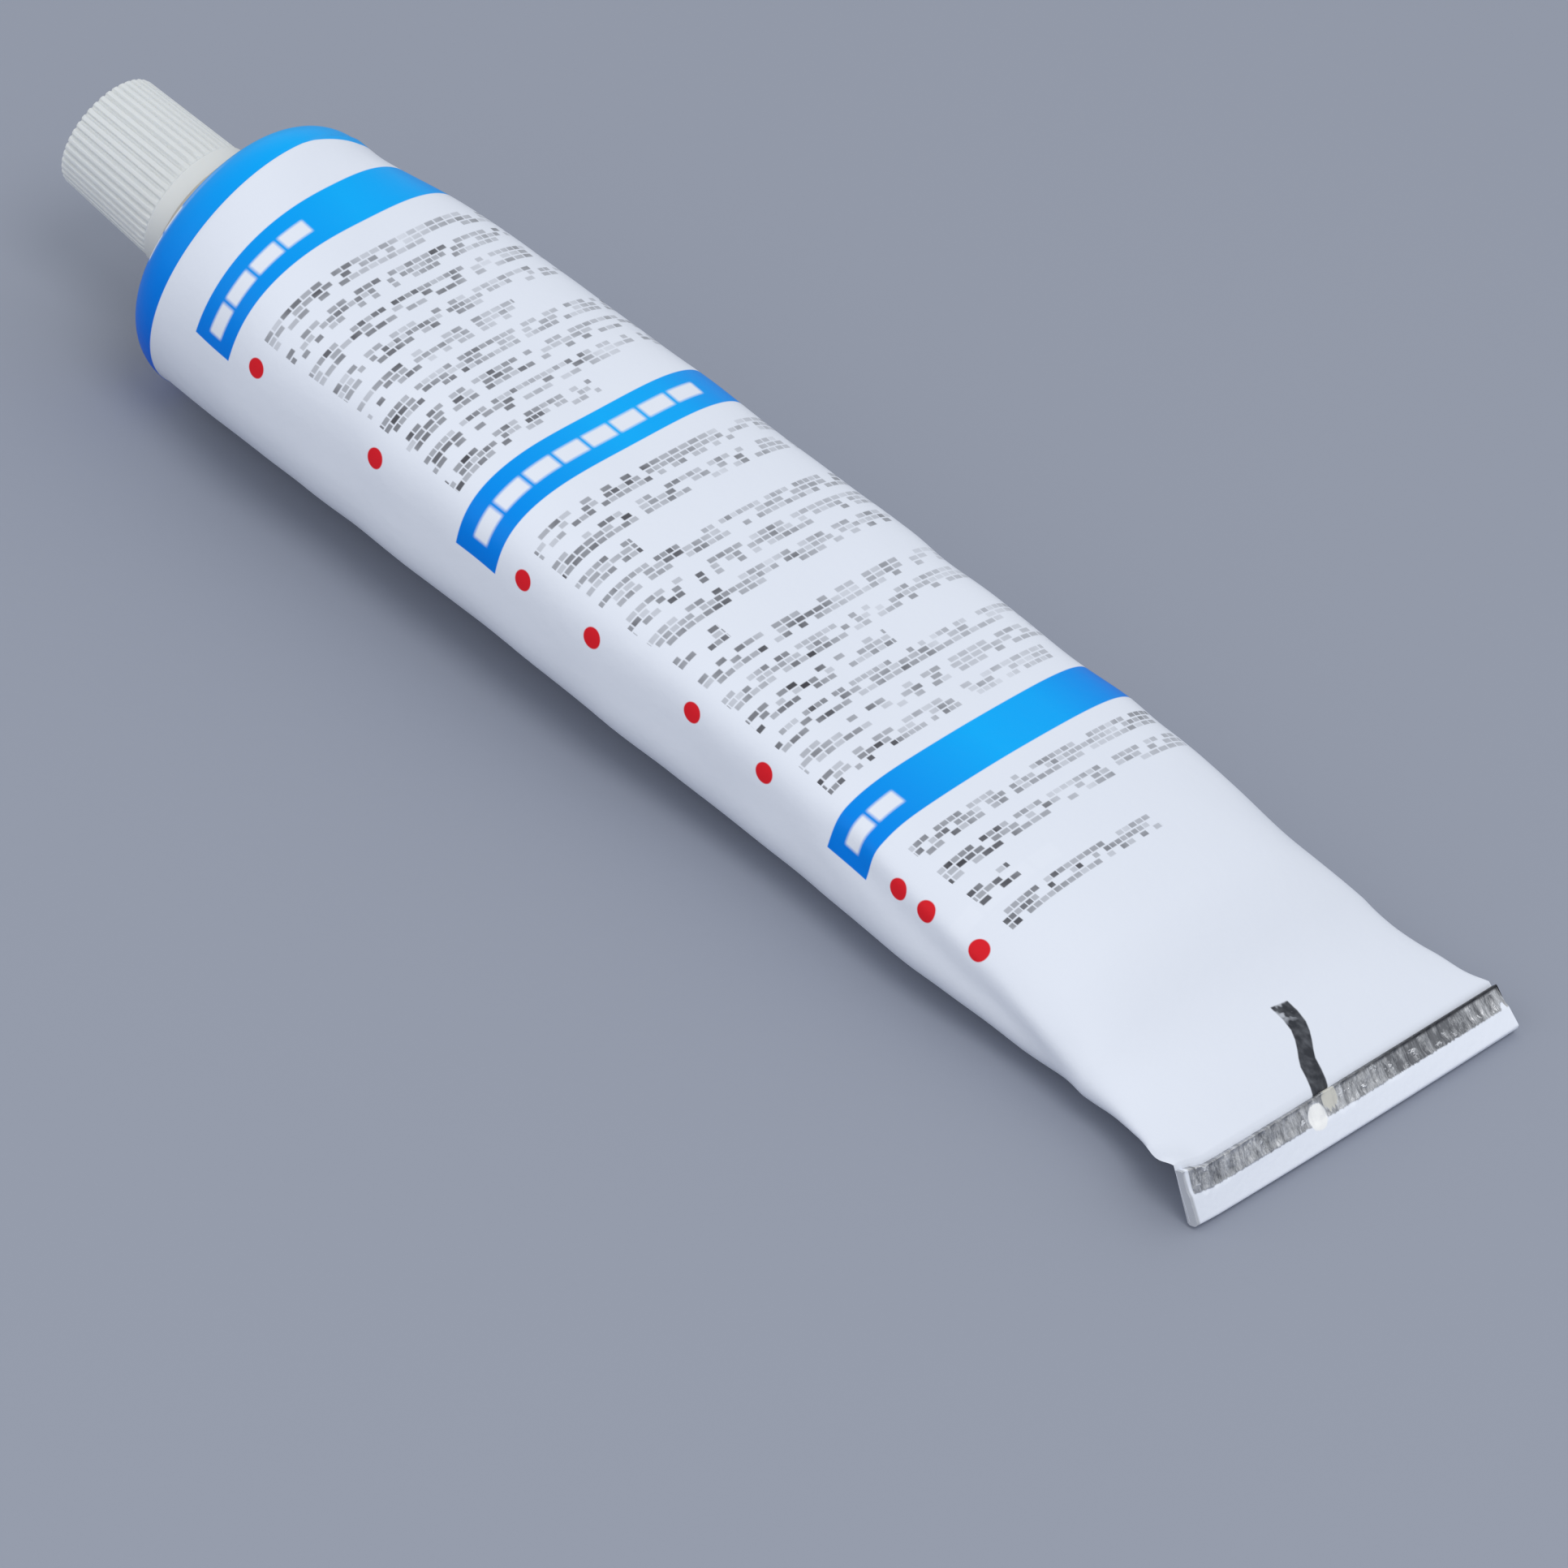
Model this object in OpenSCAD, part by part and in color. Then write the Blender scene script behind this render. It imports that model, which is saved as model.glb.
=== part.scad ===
// Silicone adhesive tube: aluminium collapsible tube with folded tail and ribbed screw cap, millimetres.
// It lies on z = 0 as it comes to rest, cap towards -X, folded tail towards +X.

/* [Body] */
// outside diameter of the round tube blank
body_d = 30; // [22:1:38]
// length from the shoulder's edge to the bend of the folded tail
body_len = 140; // [100:1:190]
// upward tilt of shoulder and neck as the filled tube rests, degrees
neck_tilt = 8; // [0:0.1:10]
// depth by which the belly is pressed flat where it rests
belly_press = 0.45; // [0.2:0.05:0.8]

/* [Shoulder and neck] */
// radius of the rolled shoulder edge
shoulder_round = 5; // [3:0.25:7]
// slope of the shoulder cone from the flat, degrees
shoulder_slope = 28; // [10:1:40]
// width of the flat ring on which the cap seats
seat_w = 2.2; // [1.5:0.1:3]
// outside diameter of the neck at the thread's root
neck_d = 10.4; // [8:0.1:12]
// height of the neck above the seat
neck_h = 8.8; // [6:0.1:12]
// depth of the pierceable membrane below the neck's rim
membrane_depth = 0.5; // [0.2:0.1:1]
// wall of the neck around the membrane
neck_wall = 1.1; // [0.6:0.1:1.6]

/* [Folded tail] */
// length of the folded strip from bend to outer crease, at the left side
fold_left = 5.6; // [5.2:0.1:8]
// the same at the right side, where it was folded narrower
fold_right = 5; // [4.2:0.1:8]
// height of the bend above the table at the left side
fold_high_left = 5.3; // [3:0.1:5.4]
// height of the bend above the table at the right side
fold_high_right = 3.5; // [2:0.1:4.4]
// share by which the body narrows just ahead of the bend
tail_pinch = 0.03; // [0:0.005:0.05]
// thickness of the flattened double sheet
sheet_t = 0.6; // [0.4:0.05:1]
// thickness of the flap folded back over it
flap_t = 0.5; // [0.3:0.05:0.8]
// width of the flattened crimp marks on the bare margin
crimp_pitch = 1.8; // [1.4:0.1:3]
// depth of the crimp marks
crimp_depth = 0.14; // [0.05:0.01:0.2]
// share of the flap's length that is bare, crimped margin
bare_share = 0.5; // [0.3:0.05:0.7]

/* [Cap] */
// overall height of the cap
cap_h = 14.9; // [12:0.1:22]
// diameter over the plain collar
cap_base_d = 14; // [12.5:0.1:18]
// diameter over the ribs at the closed end
cap_top_d = 12.8; // [11:0.1:17]
// number of grip ribs
cap_ribs = 44; // [24:1:60]
// depth of the grooves between ribs
rib_depth = 0.28; // [0.2:0.02:0.6]
// height of the plain collar
collar_h = 2.4; // [1:0.1:4]
// step by which the collar stands proud of the ribs
collar_step = 0.15; // [0.05:0.05:0.4]
// bevel round the grip's closed end
edge_bevel = 0.4; // [0.2:0.05:0.8]
// radial clearance between neck and cap bore
thread_gap = 0.3; // [0.2:0.05:0.5]
// gap between the neck's rim and the cap's web
rim_gap = 0.3; // [0.1:0.05:0.6]
// thickness of the web that closes the cap
web_t = 1.5; // [1:0.1:2.5]
// diameter of the recess around the piercing spike
recess_d = 8.4; // [6:0.1:10]
// diameter of the spike at its foot
spike_d = 4.2; // [2.5:0.1:6]

/* [Hidden] */
body_r = body_d / 2;
tail_w = PI * body_d / 2;
ring_z = body_r * cos(neck_tilt);
edge_turn = 90 - shoulder_slope;
edge_r = body_r - shoulder_round * (1 - cos(edge_turn));
edge_z = shoulder_round * sin(edge_turn);
seat_r = neck_d / 2 + seat_w;
seat_z = edge_z + (edge_r - seat_r) * tan(shoulder_slope);
bore_d = neck_d + 2 * thread_gap;
bore_h = neck_h + rim_gap;
grip_h = cap_h - collar_h;
tip_r = cap_top_d / 2 - rib_depth;
rib_w = PI * cap_top_d / cap_ribs * .5;
recess_h = cap_h - bore_h - web_t;
fold_out_left = reach(fold_left, fold_high_left);
fold_out_right = reach(fold_right, fold_high_right);
x_front = (seat_z + cap_h) * cos(neck_tilt) + cap_top_d / 2 * sin(neck_tilt);
x_back = body_len + max(fold_out_left, fold_out_right) + flap_t;
x_mid = (x_back - x_front) / 2;
round_n = 48;
around = [for (i = [0 : round_n - 1]) 360 * i / round_n];
stations = [0, .02, .045, .075, .11, .15, .2, .26, .33, .41, .49, .57, .64, .7, .755, .805, .85, .885,
    .915, .94, .962, .982, 1];

// share of the body length, and there the section's height over the diameter
height_curve = [[0, 1], [.07, .85], [.15, .725], [.3, .65], [.5, .57], [.7, .515], [.85, .425], [.95, .16],
    [1, sheet_t / body_d]];
// the same, and the height of the underside above the table, from the pressed belly to the bend
belly_curve = [[0, .003 * body_d], [.15, .107 * body_d], [.3, .103 * body_d], [.5, .053 * body_d],
    [.68, -belly_press], [.84, -belly_press], [.9, -belly_press / 3],
    [1, (fold_high_left + fold_high_right - sheet_t) / 2]];
// the same, and how square the upper and the lower half of the section are
upper_curve = [[0, 2], [.15, 3.3], [.3, 3.5], [.6, 4.6], [.9, 2.2], [1, 2.2]];
lower_curve = [[0, 2], [.3, 3], [.8, 2.7], [1, 2.2]];

// Smooth curve through knots, with slopes that never overshoot
function knot(t, k, i = 0) = i >= len(k) - 2 || t <= k[i + 1][0] ? i : knot(t, k, i + 1);
function rise(k, i) = (k[i + 1][1] - k[i][1]) / (k[i + 1][0] - k[i][0]);
function slope(k, i) = i == 0 ? rise(k, 0) : i == len(k) - 1 ? rise(k, i - 1) :
    rise(k, i - 1) * rise(k, i) <= 0 ? 0 : 2 * rise(k, i - 1) * rise(k, i) / (rise(k, i - 1) + rise(k, i));
function curve(t, k) = let (i = knot(t, k), w = k[i + 1][0] - k[i][0], s = (t - k[i][0]) / w)
    k[i][1] * (1 + 2 * s) * pow(1 - s, 2) + k[i + 1][1] * s * s * (3 - 2 * s)
    + w * s * (1 - s) * (slope(k, i) * (1 - s) - slope(k, i + 1) * s);

// Section of the flattened tube: rounded box whose girth stays that of the round blank
function bent(v, e) = sign(v) * pow(abs(v), e);
function section(a, b, nu, nl) = [for (q = around) let (e = sin(q) >= 0 ? 2 / nu : 2 / nl)
    [a * bent(cos(q), e), b * bent(sin(q), e)]];
function girth(p, i = 0, s = 0) = i == len(p) ? s : girth(p, i + 1, s + norm(p[(i + 1) % len(p)] - p[i]));
function half_width(b, nu, nl, lo, hi, k = 16) = let (m = (lo + hi) / 2) k == 0 ? m :
    girth(section(m, b, nu, nl)) < girth(section(body_r, body_r, 2, 2)) ?
        half_width(b, nu, nl, m, hi, k - 1) : half_width(b, nu, nl, lo, m, k - 1);

// Mix from the left end (0) to the right end (1) of the tail
function side(y) = (y + tail_w / 2) / tail_w;
function mix(a, b, s) = a + (b - a) * s;
function bend_z(y) = mix(fold_high_left, fold_high_right, side(y));
function fold_len(y) = mix(fold_left, fold_right, side(y));
// How far a strip of length f reaches out from a bend of height h, down to the table
function reach(f, h) = sqrt(f * f - pow(h - sheet_t / 2, 2));
function fold_dir(y) = [reach(fold_len(y), bend_z(y)), 0, sheet_t / 2 - bend_z(y)] / fold_len(y);
function fold_up(y) = let (d = fold_dir(y)) [-d[2], 0, d[0]];
// Point of the strip: s from bend to crease, w outwards from the sheet's middle
function strip(y, s, w) = [body_len, y, bend_z(y)] + s * fold_len(y) * fold_dir(y) + w * fold_up(y);

function ring(t) = let (b = body_r * curve(t, height_curve), nu = curve(t, upper_curve), nl = curve(t, lower_curve),
        a = t == 0 ? body_r : (1 - pinch(t)) * half_width(b, nu, nl, body_r * .9, tail_w / 2 * 1.02),
        lean = neck_tilt * pow(max(0, 1 - t / .3), 2), low = t == 0 ? ring_z - b : curve(t, belly_curve),
        tip = max(0, (t - .8) / .2))
    [for (p = section(a, b, nu, nl)) let (y = -p[0],
        z = low + b + p[1] * cos(lean) + tip * tip * (bend_z(y) - (fold_high_left + fold_high_right) / 2))
        [t * body_len + p[1] * sin(lean), y, max(0, z)]];
// Share by which the body stays narrower than the strip just ahead of the bend
function pinch(t) = tail_pinch * max(0, 1 - pow((t - .95) / .05, 2));
// Circle of radius r round the neck's axis, s beyond the shoulder's edge
function neck_ring(r, s) = [for (q = around) let (w = r * sin(q))
    [w * sin(neck_tilt) - s * cos(neck_tilt), -r * cos(q), ring_z + s * sin(neck_tilt) + w * cos(neck_tilt)]];
function strip_ring(s) = [for (p = section(tail_w / 2, sheet_t / 2, 2.2, 2.2)) strip(-p[0], s, p[1])];

// Skin over rings of equal count, closed at both ends
module loft(rings) {
    n = len(rings[0]);
    m = len(rings);
    points = [for (r = rings, p = r) p];
    walls = [for (j = [0 : m - 2], i = [0 : n - 1]) let (k = (i + 1) % n)
        each [[j * n + i, j * n + k, (j + 1) * n + i], [j * n + k, (j + 1) * n + k, (j + 1) * n + i]]];
    polyhedron(points, concat(walls, [[for (i = [n - 1 : -1 : 0]) i]], [[for (i = [0 : n - 1]) (m - 1) * n + i]]));
}

// Shell filled with paste, from the seat ring over the rolled shoulder edge to the folded strip
module body() {
    loft(concat([neck_ring(seat_r, seat_z)],
        [for (k = [5 : -1 : 1]) let (f = edge_turn * k / 5)
            neck_ring(body_r - shoulder_round * (1 - cos(f)), shoulder_round * sin(f))],
        [for (t = stations) ring(t)], [for (s = [.12, .35, .7, .97]) strip_ring(s)]));
}

// Flap folded back over the flattened end, with crimp marks along its bare margin
module flap() {
    cols = 2 * round(tail_w / crimp_pitch);
    lift = sheet_t / 2 + flap_t;
    function mark(i, s) = s > bare_share ? 0 : crimp_depth * (i % 2);
    function across(i) = let (y = mix(-tail_w / 2 + .05, tail_w / 2 - .05, i / cols)) [
        strip(y, .1, 0), strip(y, .1, lift - .12), strip(y, .14, lift - mark(i, .14)),
        strip(y, bare_share, lift - mark(i, bare_share)), strip(y, bare_share + .06, lift),
        strip(y, .96, lift), strip(y, 1, lift - .12), strip(y, 1.03, sheet_t / 2), strip(y, 1.03, -sheet_t / 4),
        strip(y, 1, -sheet_t / 2)];
    loft([for (i = [0 : cols]) across(i)]);
}

// Neck on the seat ring, closed by its membrane
module neck() {
    difference() {
        translate([0, 0, seat_z - 1]) cylinder(h = neck_h + 1, d = neck_d, $fn = 72);
        translate([0, 0, seat_z + neck_h - membrane_depth])
            cylinder(h = membrane_depth + 1, d = neck_d - 2 * neck_wall, $fn = 72);
    }
}

// Places what is drawn up the neck's axis, with the shoulder's edge at zero
module on_neck() {
    translate([0, 0, ring_z]) rotate([0, neck_tilt - 90, 0]) children();
}

module tube() {
    color([.88, .89, .93]) translate([-x_mid, 0, 0]) union() {
        body();
        flap();
        on_neck() neck();
    }
}

// One straight grip rib, standing on the tapered grip
module rib() {
    foot_r = cap_base_d / 2 - collar_step - rib_depth;
    translate([foot_r, 0, collar_h - .5]) rotate([0, -atan((foot_r - tip_r) / grip_h), 0])
        translate([-.5, -rib_w / 2, 0]) cube([.5 + rib_depth, rib_w, grip_h - edge_bevel / 2]);
}

// Ribbed cap: tapered grip, plain collar, bore for the neck, web, and spike in its far end
module cap() {
    color([.82, .83, .82]) translate([-x_mid, 0, 0]) on_neck() translate([0, 0, seat_z]) {
        difference() {
            union() {
                rotate_extrude($fn = 96) polygon([[0, 0], [cap_base_d / 2, 0], [cap_base_d / 2, collar_h],
                    [cap_base_d / 2 - collar_step - rib_depth, collar_h], [tip_r, cap_h - edge_bevel],
                    [tip_r - edge_bevel, cap_h], [0, cap_h]]);
                for (k = [0 : cap_ribs - 1]) rotate([0, 0, k * 360 / cap_ribs]) rib();
            }
            translate([0, 0, -1]) cylinder(h = bore_h + 1, d = bore_d, $fn = 72);
            translate([0, 0, cap_h - recess_h]) cylinder(h = recess_h + 1, d = recess_d, $fn = 72);
        }
        translate([0, 0, cap_h - recess_h - .2]) cylinder(h = recess_h - .3, d1 = spike_d, d2 = .6, $fn = 48);
    }
}

tube();
cap();
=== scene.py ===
"""Dresses the frame of a collapsible silicone adhesive tube: lacquered and printed body, folded and
crimped tail, threaded neck, ribbed screw cap, and the table it lies on.

Lengths inside the functions are millimetres with x from the shoulder's edge; each mesh is
brought to metres and to the frame's origin as it is made.
"""
import math

import bpy
import numpy as np
from bpy.props import FloatProperty, FloatVectorProperty, IntProperty, PointerProperty
from mathutils import Matrix, Vector


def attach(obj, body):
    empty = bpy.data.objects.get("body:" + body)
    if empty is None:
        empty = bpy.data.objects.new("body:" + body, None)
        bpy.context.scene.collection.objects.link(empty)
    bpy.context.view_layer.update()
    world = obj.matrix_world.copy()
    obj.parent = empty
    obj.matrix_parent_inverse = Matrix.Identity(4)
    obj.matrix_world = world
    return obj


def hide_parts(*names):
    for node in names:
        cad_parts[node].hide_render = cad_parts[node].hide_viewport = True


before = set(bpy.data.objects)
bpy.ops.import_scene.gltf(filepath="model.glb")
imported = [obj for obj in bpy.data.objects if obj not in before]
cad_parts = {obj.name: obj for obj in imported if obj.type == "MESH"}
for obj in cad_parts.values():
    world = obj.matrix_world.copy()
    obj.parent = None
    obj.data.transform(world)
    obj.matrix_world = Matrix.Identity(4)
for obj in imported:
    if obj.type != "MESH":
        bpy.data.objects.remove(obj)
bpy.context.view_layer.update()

bl_info = {
    "name": "Adhesive tube",
    "version": (1, 0, 0),
    "blender": (4, 5, 0),
    "location": "View3D > Sidebar > Tube",
    "description": "Makes a collapsible adhesive tube with a folded tail and a ribbed screw cap",
    "category": "Object",
}

MM = 0.001

# Sizes of the blank, the rolled shoulder and the seat of the cap
BODY_D = 30.0
BODY_R = BODY_D / 2
TAIL_W = math.pi * BODY_R
SHOULDER_ROUND = 5.0
SHOULDER_SLOPE = math.radians(28)
NECK_D = 10.4
NECK_H = 8.8
NECK_WALL = 1.1
MEMBRANE_DEPTH = 0.5
SEAT_W = 2.2
THREAD_PITCH = 2.0
THREAD_H = 0.26
BELLY_PRESS = 0.45
# Sizes of the cap: grooves between ribs, collar, bevel, clearances, web, recess at its far end
RIB_DEPTH = 0.28
COLLAR_H = 2.4
COLLAR_STEP = 0.15
EDGE_BEVEL = 0.4
THREAD_GAP = 0.3
RIM_GAP = 0.3
WEB_T = 1.5
RECESS_R = 4.2
# The folded tail: double sheet, flap, narrowing ahead of the bend and towards the crease,
# how far the bend's left end is curled up, width of the crimp marks
SHEET_T = 0.6
FLAP_T = 0.5
TAIL_PINCH = 0.03
STRIP_SLANT = 0.02
BEND_CURL = (-.3, -.3, .8)
CRIMP_PITCH = 1.8
EDGE_TURN = math.pi / 2 - SHOULDER_SLOPE
EDGE_R = BODY_R - SHOULDER_ROUND * (1 - math.cos(EDGE_TURN))
EDGE_Z = SHOULDER_ROUND * math.sin(EDGE_TURN)
SEAT_R = NECK_D / 2 + SEAT_W
SEAT_Z = EDGE_Z + (EDGE_R - SEAT_R) * math.tan(SHOULDER_SLOPE)
# Distance from the shoulder's edge to the frame's origin
X_MIDDLE = 60.8597

# Share of the body's length, and there the section's height over the diameter
HEIGHT_CURVE = [(0, 1), (.07, .85), (.15, .725), (.3, .65), (.5, .57), (.7, .515), (.85, .425),
                (.95, .16), (1, SHEET_T / BODY_D)]
# The same share, and how square the upper and the lower half of the section are
UPPER_CURVE = [(0, 2), (.15, 3.3), (.3, 3.5), (.6, 4.6), (.9, 2.2), (1, 2.2)]
LOWER_CURVE = [(0, 2), (.3, 3), (.8, 2.7), (1, 2.2)]
# How far handling moved the two flanks outwards: millimetres along, millimetres out
LEFT_SWAY = [(0, 0), (3, .1), (11, .7), (16, .9), (22, .45), (29, -.2), (37, .3), (44, .65), (64, .55), (72, .05),
             (86, -.1), (93, .2), (99, .5), (104, .4), (108, 0), (114, -.6), (120, -.8), (125, -1.5), (129, -1.7),
             (134, -.8), (138.4, .5), (140, 0)]
RIGHT_SWAY = [(0, 0), (4, -.6), (10, -.2), (18, .1), (30, .35), (42, .5), (57, 0), (70, .2), (75, -.25), (81, .2),
              (90, .4), (97, .7), (102, .2), (112, .1), (121, .2), (128, .5), (134, .2), (138, -.3), (140, 0)]


# ---------------------------------------------------------------- sizes and colours to change

class TubeForm(bpy.types.PropertyGroup):
    """Sizes of the tube and its cap"""

    body_len: FloatProperty(name="Body length", description="From the shoulder's edge to the bend of the tail",
                            default=0.140, unit="LENGTH")
    neck_tilt: FloatProperty(name="Neck tilt", description="Upward tilt of shoulder and neck as the tube rests",
                             default=math.radians(8), subtype="ANGLE")
    fold_left: FloatProperty(name="Folded strip, left", description="From the bend to the outer crease, left",
                             default=0.0056, unit="LENGTH")
    fold_right: FloatProperty(name="Folded strip, right", description="From the bend to the outer crease, right",
                              default=0.0050, unit="LENGTH")
    fold_high_left: FloatProperty(name="Bend, left", description="Height of the bend above the table, left",
                                  default=0.0053, unit="LENGTH")
    fold_high_right: FloatProperty(name="Bend, right", description="Height of the bend above the table, right",
                                   default=0.0035, unit="LENGTH")
    cap_h: FloatProperty(name="Cap height", description="Overall height of the cap", default=0.0149, unit="LENGTH")
    cap_base_d: FloatProperty(name="Collar diameter", description="Across the plain collar of the cap",
                              default=0.014, unit="LENGTH")
    cap_top_d: FloatProperty(name="Grip diameter", description="Across the ribs at the closed end",
                             default=0.0128, unit="LENGTH")
    cap_ribs: IntProperty(name="Grip ribs", description="Number of ribs round the cap", default=44, min=12)
    dents: FloatProperty(name="Dents", description="Depth of the dents left by handling",
                         default=0.00032, unit="LENGTH")


class TubePrint(bpy.types.PropertyGroup):
    """Colours of the lacquer, the print and the bare parts"""

    lacquer: FloatVectorProperty(name="Lacquer", description="White ground of the tube", subtype="COLOR",
                                 size=4, default=(0.75, 0.785, 0.87, 1))
    blue: FloatVectorProperty(name="Blue", description="Ring and bars", subtype="COLOR",
                              size=4, default=(0.0, 0.40, 0.92, 1))
    ink: FloatVectorProperty(name="Ink", description="Rows of small marks", subtype="COLOR",
                             size=4, default=(0.055, 0.055, 0.065, 1))
    red: FloatVectorProperty(name="Red", description="Round marks at the margin", subtype="COLOR",
                             size=4, default=(0.68, 0.014, 0.024, 1))
    foil: FloatVectorProperty(name="Foil", description="Bare aluminium", subtype="COLOR",
                              size=4, default=(0.60, 0.60, 0.61, 1))
    cap: FloatVectorProperty(name="Cap", description="Milky plastic", subtype="COLOR",
                             size=4, default=(0.69, 0.715, 0.725, 1))
    table: FloatVectorProperty(name="Table", description="Floor under the tube", subtype="COLOR",
                               size=4, default=(0.300, 0.325, 0.395, 1))


# ---------------------------------------------------------------- surfaces

def curve(t, knots):
    """Smooth curve through knots: cubic pieces whose slopes are the harmonic mean of the two
    neighbouring rises, so that the curve never overshoots."""
    x, y = np.array(knots, float).T
    rise = np.diff(y) / np.diff(x)
    both = rise[:-1] * rise[1:]
    slope = np.concatenate([rise[:1], np.where(both > 0, 2 * both / np.where(both > 0, rise[:-1] + rise[1:], 1), 0),
                            rise[-1:]])
    i = np.clip(np.searchsorted(x, t, side="left") - 1, 0, len(x) - 2)
    w = x[i + 1] - x[i]
    s = (t - x[i]) / w
    return (y[i] * (1 + 2 * s) * (1 - s) ** 2 + y[i + 1] * s * s * (3 - 2 * s)
            + w * s * (1 - s) * (slope[i] * (1 - s) - slope[i + 1] * s))


def smooth(x, low, high):
    """0 below low, 1 above high, an s-shaped passage between."""
    s = np.clip((x - low) / (high - low), 0, 1)
    return s * s * (3 - 2 * s)


def lattice(u, v, seed, count=64):
    """Value noise: random heights from -1 to 1 on whole numbers of u and v, joined smoothly."""
    heights = np.random.default_rng(seed).uniform(-1, 1, (count, count))
    i, j = np.floor(u).astype(int), np.floor(v).astype(int)
    a, b = u - i, v - j
    a, b = a * a * (3 - 2 * a), b * b * (3 - 2 * b)
    h = [[heights[(i + p) % count, (j + q) % count] for q in (0, 1)] for p in (0, 1)]
    return (h[0][0] * (1 - b) + h[0][1] * b) * (1 - a) + (h[1][0] * (1 - b) + h[1][1] * b) * a


def section(width, height, upper, lower, q):
    """Rounded-box section: cosine and sine of q, bent by 2 over the squareness of that half."""
    e = 2 / np.where(np.sin(q) >= 0, upper, lower)
    c, s = np.cos(q), np.sin(q)
    return width * np.sign(c) * np.abs(c) ** e, height * np.sign(s) * np.abs(s) ** e


def girth(px, py):
    """Length round each section, point to point."""
    return np.hypot(np.diff(px, axis=1), np.diff(py, axis=1)).sum(1, keepdims=True)


class Tail:
    """The folded strip: a slanted plane from the bend, whose height differs from side to side."""

    def __init__(self, form):
        self.length = form.body_len / MM
        self.fold_left, self.fold_right = form.fold_left / MM, form.fold_right / MM
        self.left, self.right = form.fold_high_left / MM, form.fold_high_right / MM

    def mixed(self, y, left, right):
        return left + (right - left) * (y + TAIL_W / 2) / TAIL_W

    def bend_z(self, y):
        return self.mixed(y, self.left, self.right)

    def fold(self, y):
        return self.mixed(y, self.fold_left, self.fold_right)

    def point(self, y, s, w):
        """Bend at y, plus s folds down the strip, plus w outwards from the sheet's middle."""
        dz = (SHEET_T / 2 - self.bend_z(y)) / self.fold(y)
        dx = np.sqrt(1 - dz ** 2)
        return np.stack([self.length + s * self.fold(y) * dx - w * dz, y + 0 * s + 0 * w,
                         self.bend_z(y) + s * self.fold(y) * dz + w * dx], -1)


def curled(points, form):
    """Lifts the left end of the bend, where the sheet was bent up a little as it was folded."""
    x, y = points[..., 0], points[..., 1]
    near = smooth(-y, 19.5, 23.6) * (1 - smooth(np.abs(x - form.body_len / MM), .2, 4.0))
    return points + near[..., None] * np.array(BEND_CURL)


def neck_frame(r, q, s, tilt):
    """Point at radius r and angle q round the neck's axis, s beyond the shoulder's edge."""
    w = r * np.sin(q)
    return np.stack([w * math.sin(tilt) - s * math.cos(tilt), -r * np.cos(q) + 0 * s,
                     BODY_R * math.cos(tilt) + s * math.sin(tilt) + w * math.cos(tilt)], -1)


def body_rings(form, stations, columns):
    """Flattened body: at each share of the length a rounded box with the girth of the round blank,
    its outline walked in equal steps from the underside over the left, the top and the right.
    Gives points, and the distance round from the top line."""
    t = stations[:, None]
    tail = Tail(form)
    tilt = form.neck_tilt
    q = np.linspace(1.5 * math.pi, -0.5 * math.pi, 721)[None, :]
    high = BODY_R * curve(t, HEIGHT_CURVE)
    upper, lower = curve(t, UPPER_CURVE), curve(t, LOWER_CURVE)
    low, wide = np.full_like(t, BODY_R * .9), np.full_like(t, TAIL_W / 2 * 1.02)
    for _ in range(18):
        middle = (low + wide) / 2
        short = girth(*section(middle, high, upper, lower, q)) < 2 * math.pi * BODY_R
        low, wide = np.where(short, middle, low), np.where(short, wide, middle)
    pinch = TAIL_PINCH * np.maximum(0, 1 - ((t - .95) / .05) ** 2)
    px, py = section((low + wide) / 2 * (1 - pinch), high, upper, lower, q)
    step = np.concatenate([np.zeros_like(t), np.hypot(np.diff(px, axis=1), np.diff(py, axis=1)).cumsum(1)], 1)
    way = step / step[:, -1:]
    rows = np.arange(len(stations))[:, None] * 2.0
    want = (rows + np.linspace(0, 1, columns + 1)[None, :]).ravel()
    px, py = (np.interp(want, (rows + way).ravel(), p.ravel()).reshape(len(stations), -1) for p in (px, py))
    lean = tilt * np.maximum(0, 1 - t / .3) ** 2
    belly = [(0, .003 * BODY_D), (.15, .107 * BODY_D), (.3, .103 * BODY_D), (.5, .053 * BODY_D),
             (.68, -BELLY_PRESS), (.84, -BELLY_PRESS), (.9, -BELLY_PRESS / 3),
             (1, (tail.left + tail.right - SHEET_T) / 2)]
    rest = np.where(t == 0, BODY_R * math.cos(tilt) - high, curve(t, belly))
    tip = np.maximum(0, (t - .8) / .2) ** 2
    y = -px
    z = rest + high + py * np.cos(lean) + tip * (tail.bend_z(y) - (tail.left + tail.right) / 2)
    around = (np.linspace(0, 1, columns + 1)[None, :] - .5) * 2 * math.pi * BODY_R + 0 * t
    return np.stack([t * tail.length + py * np.sin(lean), y, np.maximum(0, z)], -1), around


def normals_of(grid):
    """Unit normals of a closed grid from its central differences, pointing away from its middle line."""
    a = np.gradient(grid, axis=0)
    b = np.roll(grid[:, :-1], -1, 1) - np.roll(grid[:, :-1], 1, 1)
    n = np.cross(a, np.concatenate([b, b[:, :1]], 1))
    n /= np.maximum(np.linalg.norm(n, axis=2, keepdims=True), 1e-9)
    away = ((grid - grid.mean(1, keepdims=True)) * n).sum(2).sum(1)[:, None, None]
    return n * np.sign(away)


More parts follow.
